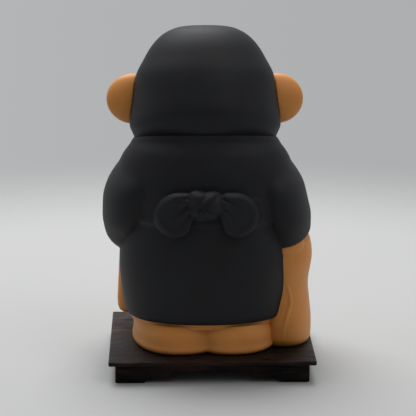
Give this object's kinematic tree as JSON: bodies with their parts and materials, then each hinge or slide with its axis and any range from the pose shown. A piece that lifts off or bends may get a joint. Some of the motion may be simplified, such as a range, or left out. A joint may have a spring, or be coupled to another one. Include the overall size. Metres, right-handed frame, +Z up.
{
  "type": "figural coin bank",
  "caption": "Hollow figural coin bank: stout robed figure with a seated dog, turning head with a crown coin slot and stopper outlet, on a low wooden display stand.",
  "frame": {"origin": "on the ground, under the middle of the whole object's box", "axes": "+Z up; the figure faces -Y, its back with the bow is at +Y, and the dog is at -X"},
  "size_m": [0.0988, 0.087, 0.1592],
  "materials": {
    "charcoal_vinyl": "matte charcoal paint on soft vinyl",
    "tan_vinyl": "matte tan soft vinyl, shaded darker in the hollows",
    "lacquered_wood": "thin black lacquer over open grain",
    "raw_wood": "unfinished softwood",
    "stopper_rubber": "pale moulded rubber"
  },
  "bodies": {
    "stand": {"stand_board": "lacquered_wood", "stand_apron_front": "lacquered_wood", "stand_apron_back": "lacquered_wood", "stand_apron_left": "lacquered_wood", "stand_apron_right": "lacquered_wood", "glue_block_1": "raw_wood", "glue_block_2": "raw_wood", "glue_block_3": "raw_wood", "glue_block_4": "raw_wood"},
    "figure": {"robe_shell": "charcoal_vinyl", "sash_bow": "charcoal_vinyl", "leg_base": "tan_vinyl", "hand_right": "tan_vinyl", "hand_left": "tan_vinyl", "scabbard": "tan_vinyl", "sword_guard": "tan_vinyl", "sword_hilt": "tan_vinyl", "dog": "tan_vinyl"},
    "head": {"hair_shell": "charcoal_vinyl", "face_shell": "tan_vinyl", "neck_ring": "tan_vinyl"},
    "stopper": {"coin_stopper": "stopper_rubber"}
  },
  "joints": [
    {"name": "figure_lift", "type": "slide", "parent": "stand", "child": "figure", "axis": [0, 0, 1], "range_m": [0, 0.06]},
    {"name": "head_turn", "type": "hinge", "parent": "figure", "child": "head", "pos_m": [0.0008, 0, 0.1068], "axis": [0, -0.2079, 0.9781], "continuous": true},
    {"name": "stopper_pull", "type": "slide", "parent": "figure", "child": "stopper", "axis": [0, 0, -1], "range_m": [0, 0.03]}
  ],
  "couplings": [
    {"joint": "stopper_pull", "follows": "figure_lift", "ratio": 0.5}
  ]
}
